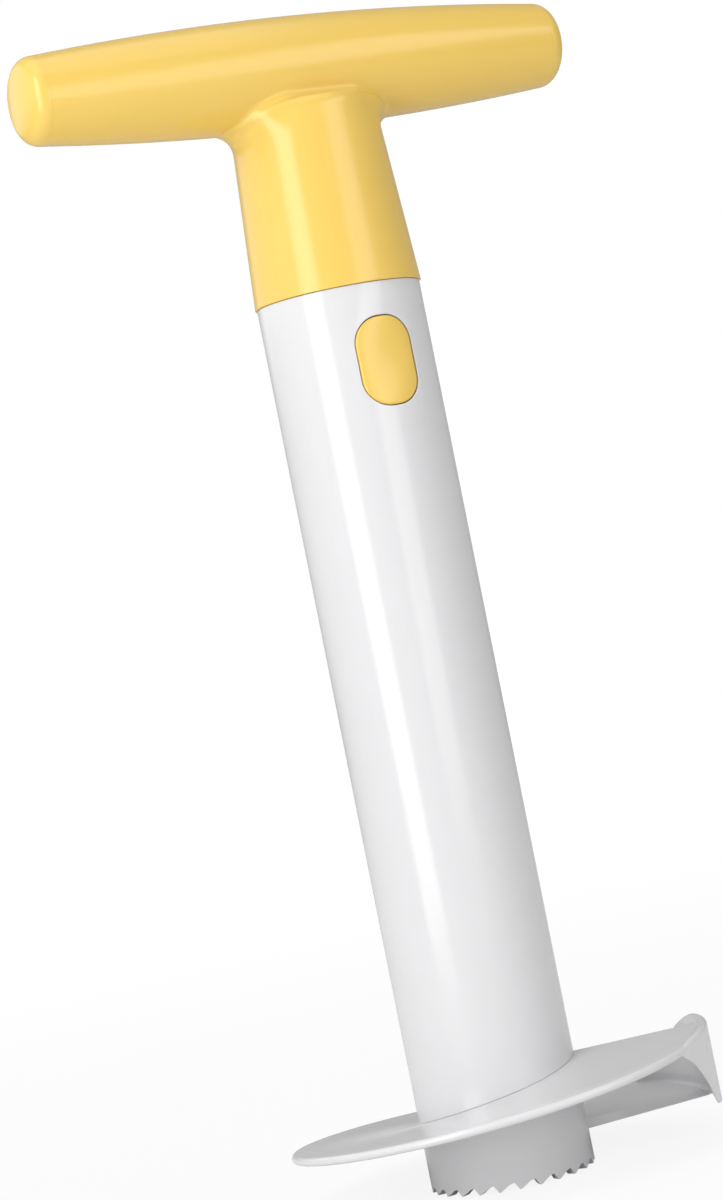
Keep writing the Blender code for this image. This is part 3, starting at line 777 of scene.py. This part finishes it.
def merged(first, first_way, second, second_way, radius):
    """Joins two shapes with a round fillet. Each shape is its distances and its outward directions."""
    turn = np.clip((first_way * second_way).sum(axis=1), -SAME_WAY, SAME_WAY)
    u, v = radius - first, radius - second
    reach = np.sqrt(np.maximum(u * u + v * v - 2 * u * v * turn, TINY ** 2) / (1 - turn * turn))
    in_fillet = (u > v * turn) & (v > u * turn)
    distance = np.where(in_fillet, radius - reach, np.minimum(first, second))
    share = (1 - turn * turn) * reach
    mixed = ((u - v * turn) / share)[:, None] * first_way + ((v - u * turn) / share)[:, None] * second_way
    nearest = np.where((first < second)[:, None], first_way, second_way)
    return distance, np.where(in_fillet[:, None], mixed, nearest)


def grip_field(places, shaft, grip):
    """Signed distance to the bar and to the neck with its flat shoulder, joined by fillets."""
    axis = bar_height(shaft, grip)
    x, y, z = places[:, 0], places[:, 1], places[:, 2]
    nothing = np.zeros_like(x)
    across = np.maximum(np.hypot(y, z - axis), TINY)
    bar = across - bar_radius(grip, x)
    bar_way = np.stack([nothing, y / across, (z - axis) / across], axis=1)
    out = np.maximum(np.hypot(x, y), TINY)
    spoke = np.stack([x / out, y / out, nothing], axis=1)
    side = (out - neck_radius(shaft, grip, z)) / math.hypot(1, grip.neck_slope)
    side_way = (spoke + [0, 0, grip.neck_slope]) / math.hypot(1, grip.neck_slope)
    growth = (np.abs(y) / (HALF_GROWN_SHARE * neck_radius(shaft, grip, axis))) ** GROWTH_POWER
    fillet = grip.fillet * (1 + grip.fillet_growth * growth / (1 + growth))
    filled, filled_way = merged(bar, bar_way, side, side_way, fillet)
    top = z - (axis - grip.shoulder)
    top_way = np.broadcast_to([0.0, 0.0, 1.0], places.shape)
    # An outer rounding is the fillet of the two hollows
    neck, neck_way = merged(-filled, -filled_way, -top, -top_way, grip.shoulder_round)
    return merged(bar, bar_way, -neck, -neck_way, grip.shoulder_fillet)[0]


def settled(places, shaft, grip, pulls):
    """Moves places onto the handle's skin along the field's slope."""
    for _ in range(pulls):
        here = grip_field(places, shaft, grip)
        slope = np.empty_like(places)
        for axis, step in enumerate(NUDGE * np.eye(3)):
            ahead, behind = (grip_field(places + way * step, shaft, grip) for way in (1, -1))
            slope[:, axis] = (ahead - behind) / (2 * NUDGE)
        size = np.maximum((slope ** 2).sum(axis=1), FLATTEST_SQUARE)
        places = places - (here / size)[:, None] * slope
    return places


def grown(bm, face, reach, segments):
    """Extrudes a face of the cage in equal steps."""
    for _ in range(segments):
        made = bmesh.ops.extrude_face_region(bm, geom=[face])["geom"]
        bmesh.ops.delete(bm, geom=[face], context="FACES")
        face = next(item for item in made if isinstance(item, bmesh.types.BMFace))
        bmesh.ops.translate(bm, verts=face.verts, vec=Vector(reach) / segments)
    return face


def refined(bm, shaft, grip):
    """Halves the faces around the junction, where the shape bends most."""
    axis = bar_height(shaft, grip)
    low = axis - grip.mid_radius - REFINED_LOW_SHARE * grip.fillet
    high = axis - REFINED_HIGH_SHARE * grip.shoulder
    width = REFINED_WIDTH_SHARE * shaft.radius
    near = [
        edge for edge in bm.edges
        if all(low < v.co.z < high and v.co.xy.length < width for v in edge.verts)
    ]
    bmesh.ops.subdivide_edges(bm, edges=near, cuts=1, use_grid_fill=True)


def skin_mesh(shaft, grip):
    """The handle's outer skin: a T-shaped cage, subdivided and settled onto the smooth shape."""
    seam, axis = seam_height(shaft), bar_height(shaft, grip)
    # The bar stops short of its rounded edge and of half the parting gap
    bar_end = grip.half_length - grip.cap_rim - grip.joint - grip.joint / 2
    foot = seam + grip.edge
    half = Vector((shaft.radius, grip.mid_radius, grip.mid_radius)) * CAGE_SHARE
    bm = bmesh.new()
    bmesh.ops.create_cube(bm, size=2)
    bmesh.ops.scale(bm, vec=half, verts=bm.verts)
    moved(bm, (0, 0, axis))
    ends = []
    for way in (Vector((1, 0, 0)), Vector((-1, 0, 0)), Vector((0, 0, -1))):
        bm.normal_update()
        face = max(bm.faces, key=lambda item: (item.calc_center_median() - Vector((0, 0, axis))).dot(way))
        reach = (bar_end - half.x) if way.x else (axis - half.z - foot)
        segments = CAGE_BAR_SEGMENTS if way.x else CAGE_NECK_SEGMENTS
        ends.append(grown(bm, face, way * reach, segments))
    bmesh.ops.delete(bm, geom=ends, context="FACES_ONLY")
    obj = linked(bm, "grip_cage")
    subdivision = obj.modifiers.new("subdivision", "SUBSURF")
    subdivision.levels = subdivision.render_levels = SKIN_LEVELS
    bm = with_modifiers(obj)
    for k in range(SETTLE_ROUNDS):
        if k == REFINED_ROUND:
            refined(bm, shaft, grip)
        rims = [vert for vert in bm.verts if vert.is_boundary]
        inner = [vert for vert in bm.verts if not vert.is_boundary]
        for _ in range(SMOOTH_PASSES if k else 0):
            bmesh.ops.smooth_vert(
                bm, verts=inner, factor=0.5, use_axis_x=True, use_axis_y=True, use_axis_z=True
            )
        places = np.array([vert.co for vert in bm.verts])
        places = settled(places, shaft, grip, PULLS if k else FIRST_PULLS)
        for vert, place in zip(bm.verts, places):
            vert.co = place
        for vert in rims:
            if vert.co.z < (seam + axis) / 2:
                vert.co.z = foot
                vert.co.xy = vert.co.xy.normalized() * (shaft.radius + grip.overhang)
            else:
                vert.co.x = math.copysign(bar_end, vert.co.x)
                spoke = Vector((vert.co.y, vert.co.z - axis)).normalized() * bar_radius(grip, bar_end)
                vert.co.y, vert.co.z = spoke.x, axis + spoke.y
    return bm


def closed_ends(bm, shaft, grip):
    """Rounds the skin's three open edges and closes them with flat faces."""
    axis = bar_height(shaft, grip)
    rims = [edge for edge in bm.edges if edge.is_boundary]
    ends = (((0, 0, -1), 0, grip.edge), ((-1, 0, 0), axis, grip.joint), ((1, 0, 0), axis, grip.joint))
    for way, height, size in ends:
        way, centre = Vector(way), Vector((0, 0, height))
        reach = max(edge.verts[0].co.dot(way) for edge in rims)
        edges = [edge for edge in rims if edge.verts[0].co.dot(way) > reach - MERGE]
        profile = arc((0, 0), size, 0, 1, steps=4)
        for before, after in zip(profile, profile[1:]):
            inward, out = before[0] - after[0], after[1] - before[1]
            verts, edges = next_ring(bm, edges)
            for vert in verts:
                spoke = vert.co - centre
                spoke -= way * spoke.dot(way)
                vert.co += way * out - spoke.normalized() * inward
        bmesh.ops.holes_fill(bm, edges=edges, sides=0)
    return bm


def along_bar(bm, axis, turn=0.0):
    """Lays a shape that was turned about Z along the bar's axis."""
    return moved(turned(turned(bm, TURN / 4, "Y"), turn), (0, 0, axis))


class SLICER_OT_grip(Operator):
    """Model the grip: a barrel-shaped bar on a tapering neck, hollow inside"""

    bl_idname = "slicer.grip"
    bl_label = "Grip"

    def execute(self, context):
        shaft, grip = settings("shaft", "grip")
        seam, axis = seam_height(shaft), bar_height(shaft, grip)
        solid = closed_ends(skin_mesh(shaft, grip), shaft, grip)
        floor = seam + grip.socket
        low, high = floor + grip.floor, axis - grip.shoulder - grip.wall
        room = [(0, low)] + [(neck_radius(shaft, grip, z) - grip.wall, z) for z in (low, high)]
        passage, roof = PASSAGE_SHARE * grip.bore, axis - ROOF_SHARE * grip.bore
        room += [(passage, high), (passage, roof), (0, roof)]
        bore_reach = grip.half_length + OVERRUN
        cuts = [
            (spun(room, steps=64, closed=False), "DIFFERENCE"),
            (along_bar(rod(grip.bore, -bore_reach, bore_reach), axis), "DIFFERENCE"),
            (rod(grip.spigot + shaft.gap, seam - OVERRUN, floor, steps=96), "DIFFERENCE"),
        ]
        for node in ("plug_screw_left", "plug_screw_right"):
            low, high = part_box(node)
            x, tip = (low.x + high.x) / 2, high.z + shaft.gap
            boss = rod(BOSS_RADIUS, floor + grip.floor / 2, tip + BOSS_ROOF, x, steps=32)
            hole = rod(SCREW_SHANK + shaft.gap, floor - OVERRUN, tip, x, steps=32)
            cuts += [(boss, "UNION"), (hole, "DIFFERENCE")]
        shell = combined(solid, cuts, "grip_fine")
        finished(shell, "grip_fine", "slicer", "grip_shell", "yellow_plastic")
        return {"FINISHED"}


def cap_mesh(shaft, grip, turn):
    """Round end of the bar, with a skirt inside the bore."""
    seat = grip.half_length - grip.cap_rim + grip.joint / 2
    skirt = grip.bore - shaft.gap
    inside = grip.half_length - grip.cap_wall
    edge = grip.joint
    outline = [
        (0, inside), (skirt - grip.cap_wall, inside), (skirt - grip.cap_wall, seat - grip.cap_skirt),
        (skirt, seat - grip.cap_skirt), (skirt, seat),
    ]
    outline += arc((grip.end_radius - edge, seat + edge), edge, -1, 0, steps=3)
    # The face is a shallow dome, and the round edge touches it from inside
    flat = grip.end_radius - grip.cap_round
    dome = (flat * flat + grip.cap_dome ** 2) / (2 * grip.cap_dome)
    lean = math.asin(flat / (dome - grip.cap_round))
    middle = grip.half_length - dome + (dome - grip.cap_round) * math.cos(lean)
    touch = 1 - lean * 4 / TURN
    outline += arc((flat, middle), grip.cap_round, 0, touch, steps=16)
    outline += arc((0, grip.half_length - dome), dome, touch, 1, steps=12)[1:]
    return along_bar(spun(outline, steps=128, closed=False), bar_height(shaft, grip), turn)


class SLICER_OT_caps(Operator):
    """Model the two round end caps of the bar"""

    bl_idname = "slicer.caps"
    bl_label = "End caps"

    def execute(self, context):
        shaft, grip = settings("shaft", "grip")
        for side, turn in (("right", 0.0), ("left", math.pi)):
            cap = cap_mesh(shaft, grip, turn)
            finished(cap, f"cap_fine_{side}", "slicer", f"bar_end_cap_{side}", "yellow_plastic")
        return {"FINISHED"}


# Buttons and latch

DISH_SHARE = 0.94
HEART_SHARE = 0.02
SPRING_STEPS = 32
CARRIED_NODES = {
    "latch_plug": "grey_plastic", "latch_cover": "grey_plastic", "plug_screw_left": "spring_steel",
    "plug_screw_right": "spring_steel",
}


def button_mesh(shaft, button, turn):
    """Button with a round edge and a shallow dish, a flange behind it and a post for the spring."""
    centre = button_centre(shaft, button)
    half_width, half_height = button.width / 2, button.height / 2
    back = button.flange_face - button.flange
    flange_width = math.sqrt((button.chamber - shaft.gap) ** 2 - button.flange_face ** 2)
    spread = (flange_width / half_width, (half_height + button.flange_rim) / half_height)

    def dish(x, z):
        away = min(math.hypot(x / half_width, z / half_height) / DISH_SHARE, 1)
        return button.dish * (1 - away * away) ** 2

    def face(scale):
        def place(seat, core, away):
            inset = (half_width - button.edge) / half_width, (half_height - button.edge) / half_height
            x, z = seat[0] * scale * inset[0], seat[1] * scale * inset[1]
            return on_cylinder(x, centre + z, shaft.radius, dish(x, z))
        return place

    def flat(depth, spread_x=1.0, spread_z=1.0):
        def place(seat, core, away):
            return Vector((seat[0] * spread_x, -depth, centre + seat[1] * spread_z))
        return place

    def post(depth, radius):
        def place(seat, core, away):
            around = math.atan2(seat[1] / half_height, seat[0] / half_width)
            return Vector((radius * math.cos(around), -depth, centre + radius * math.sin(around)))
        return place

    rings = 18
    layers = [face(HEART_SHARE + (1 - HEART_SHARE) * k / rings) for k in range(rings + 1)]
    edge = arc((-button.edge, button.edge), button.edge, -1, 0, steps=6)[1:]
    layers += [ring(shaft, button, outset, depth) for outset, depth in edge]
    layers += [flat(button.flange_face), flat(button.flange_face, *spread), flat(back, *spread)]
    layers += [post(back, button.post), post(back - button.post_length, button.post)]
    return turned(button_plate(button, layers), turn)


class SLICER_OT_buttons(Operator):
    """Model the two release buttons"""

    bl_idname = "slicer.buttons"
    bl_label = "Release buttons"

    def execute(self, context):
        shaft, button = settings("shaft", "button")
        for side, turn in (("front", 0.0), ("rear", math.pi)):
            shape = button_mesh(shaft, button, turn)
            finished(shape, f"button_fine_{side}", f"{side}_button", f"button_{side}", "yellow_plastic")
        return {"FINISHED"}


def spring_mesh(button, low, high):
    """Coil spring along Y that fills the space between two corners."""
    wire = button.spring_wire / 2
    steps = SPRING_STEPS * button.spring_turns
    bm = bmesh.new()
    bmesh.ops.create_circle(bm, radius=wire, segments=12)
    moved(bm, ((high.x - low.x) / 2 - wire, low.y + wire, 0))
    bmesh.ops.spin(
        bm, geom=bm.verts[:] + bm.edges[:], cent=(0, 0, 0), axis=(0, 1, 0),
        dvec=(0, (high.y - low.y - 2 * wire) / steps, 0), angle=TURN * button.spring_turns, steps=steps,
        use_merge=False,
    )
    return moved(capped(bm), (0, 0, (low.z + high.z) / 2))


class SLICER_OT_springs(Operator):
    """Model the two coil springs, each with a mesh of its own"""

    bl_idname = "slicer.springs"
    bl_label = "Springs"

    def execute(self, context):
        [button] = settings("button")
        for side in ("front", "rear"):
            node = f"button_spring_{side}"
            low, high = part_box(node)
            shape = spring_mesh(button, low, high)
            spring = finished(shape, f"spring_fine_{side}", "slicer", node, "spring_steel")
            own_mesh(spring)
        return {"FINISHED"}


class SLICER_OT_latch(Operator):
    """Dress the plug, its cover and the screws inside"""

    bl_idname = "slicer.latch"
    bl_label = "Latch"

    def execute(self, context):
        for name, slot in CARRIED_NODES.items():
            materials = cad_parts[name].data.materials
            materials.clear()
            materials.append(MATERIALS[slot](*settings("looks")))
        return {"FINISHED"}


# Studio


class Light(NamedTuple):
    """A soft light and what it faces. Its bearing is in degrees to the right of the camera's."""

    bearing: float
    distance: float
    height: float
    size: tuple
    aim_height: float
    aim_distance: float = 0.0
    roll: float = 0.0


LIGHTS = {
    "key_strip": Light(-36, 0.56, 0.39, (0.26, 0.78), 0.39),
    "slanted_panel": Light(43.5, 1.27, 0.42, (0.49, 1.95), 0.15, roll=-45),
    "front_panel": Light(-16, 1.5, 0.75, (1.9, 1.5), 0.75),
    "left_panel": Light(-99, 0.9, 0.62, (1.8, 0.7), 0.62),
    "top_light": Light(0, 0.3, 2.0, (2.0, 2.0), 0.0, aim_distance=0.3),
}


def beside(turn, distance, height):
    """A place around the shaft. A turn of zero is in front of the front button."""
    return Vector((math.sin(turn) * distance, -math.cos(turn) * distance, height))


def add_light(name, light, studio):
    """Adds a rectangular light that the camera doesn't see."""
    data = bpy.data.lights.new(name, "AREA")
    data.shape = "RECTANGLE"
    data.size, data.size_y = light.size
    data.energy = getattr(studio, name) * math.pi * data.size * data.size_y
    turn = studio.azimuth + math.radians(light.bearing)
    place = beside(turn, light.distance, light.height)
    aim = beside(turn, light.aim_distance, light.aim_height) - place
    facing = aim.to_track_quat("-Z", "Y").to_matrix().to_4x4()
    roll = Matrix.Rotation(math.radians(light.roll), 4, "Z")
    lamp = bpy.data.objects.new(name, data)
    lamp.matrix_world = Matrix.Translation(place) @ facing @ roll
    lamp.visible_camera = False
    bpy.context.scene.collection.objects.link(lamp)


def add_camera(studio):
    data = bpy.data.cameras.new("camera")
    data.sensor_width = 36
    data.lens = studio.lens
    data.clip_start = 0.01
    data.clip_end = 50
    camera = bpy.data.objects.new("camera", data)
    place = Matrix.Translation(beside(studio.azimuth, studio.distance, studio.height))
    heading = Matrix.Rotation(studio.azimuth + studio.yaw, 4, "Z")
    tilt = Matrix.Rotation(TURN / 4 + studio.pitch, 4, "X")
    camera.matrix_world = place @ heading @ tilt @ Matrix.Rotation(studio.roll, 4, "Z")
    bpy.context.scene.collection.objects.link(camera)
    bpy.context.scene.camera = camera


def pale_floor():
    """Matt floor that fades into the white walls behind it."""
    material = bpy.data.materials.new("pale_floor")
    tree = blank_tree(material)
    place = add_node(tree, "ShaderNodeTexCoord", output="Object")
    away = add_node(tree, "ShaderNodeVectorMath", {0: place}, "Value", operation="LENGTH")
    seen = add_node(tree, "ShaderNodeLightPath", output="Is Camera Ray")
    fade = add_node(
        tree, "ShaderNodeMapRange",
        {"Value": away, "From Min": 0.06, "From Max": 0.7, "To Min": 0.88, "To Max": 1.0},
        interpolation_type="SMOOTHSTEP",
    )
    matt = add_node(tree, "ShaderNodeBsdfDiffuse", {"Color": (0.82, 0.82, 0.82, 1)})
    glow = add_node(tree, "ShaderNodeEmission", {"Color": WHITE, "Strength": 1.0})
    surface = add_node(tree, "ShaderNodeMixShader", {"Fac": seen * fade, 1: matt, 2: glow})
    add_node(tree, "ShaderNodeOutputMaterial", {"Surface": surface})
    return material


class SLICER_OT_studio(Operator):
    """Set up the camera, the pale floor, the walls' light and the soft lights"""

    bl_idname = "slicer.studio"
    bl_label = "Studio"

    def execute(self, context):
        [studio] = settings("studio")
        add_camera(studio)
        for name, light in LIGHTS.items():
            add_light(name, light, studio)
        bm = bmesh.new()
        bmesh.ops.create_circle(bm, cap_ends=True, radius=8, segments=96)
        floor = linked(bm, "floor")
        floor.data.materials.append(pale_floor())
        world = bpy.data.worlds.new("studio")
        tree = blank_tree(world)
        seen = add_node(tree, "ShaderNodeLightPath", output="Is Camera Ray")
        strength = seen * (1.0 - studio.sky) + studio.sky
        sky = add_node(tree, "ShaderNodeBackground", {"Color": WHITE, "Strength": strength})
        add_node(tree, "ShaderNodeOutputWorld", {"Surface": sky})
        context.scene.world = world
        context.scene.view_settings.view_transform = "Standard"
        return {"FINISHED"}


class SLICER_PT_panel(Panel):
    """Lists the slicer's pieces and its settings"""

    bl_idname = "SLICER_PT_panel"
    bl_label = "Pineapple Slicer"
    bl_space_type = "VIEW_3D"
    bl_region_type = "UI"
    bl_category = "Slicer"

    def draw(self, context):
        for operator in OPERATORS:
            self.layout.operator(operator.bl_idname)
        for name in GROUPS:
            box = self.layout.box()
            group = getattr(context.scene, name)
            for key in group.__annotations__:
                box.prop(group, key)


GROUPS = {
    "slicer_shaft": ShaftSizes,
    "slicer_head": HeadSizes,
    "slicer_grip": GripSizes,
    "slicer_button": ButtonSizes,
    "slicer_looks": Looks,
    "slicer_studio": StudioSettings,
}
OPERATORS = (
    SLICER_OT_studio, SLICER_OT_shaft, SLICER_OT_head, SLICER_OT_grip, SLICER_OT_caps, SLICER_OT_buttons,
    SLICER_OT_springs, SLICER_OT_latch,
)
CLASSES = (*GROUPS.values(), *OPERATORS, SLICER_PT_panel)


def register():
    for cls in CLASSES:
        bpy.utils.register_class(cls)
    for name, group in GROUPS.items():
        setattr(bpy.types.Scene, name, PointerProperty(type=group))


def unregister():
    for name in GROUPS:
        delattr(bpy.types.Scene, name)
    for cls in reversed(CLASSES):
        bpy.utils.unregister_class(cls)


def main():
    register()
    for operator in OPERATORS:
        group, name = operator.bl_idname.split(".")
        getattr(getattr(bpy.ops, group), name)()


if __name__ == "__main__":
    main()
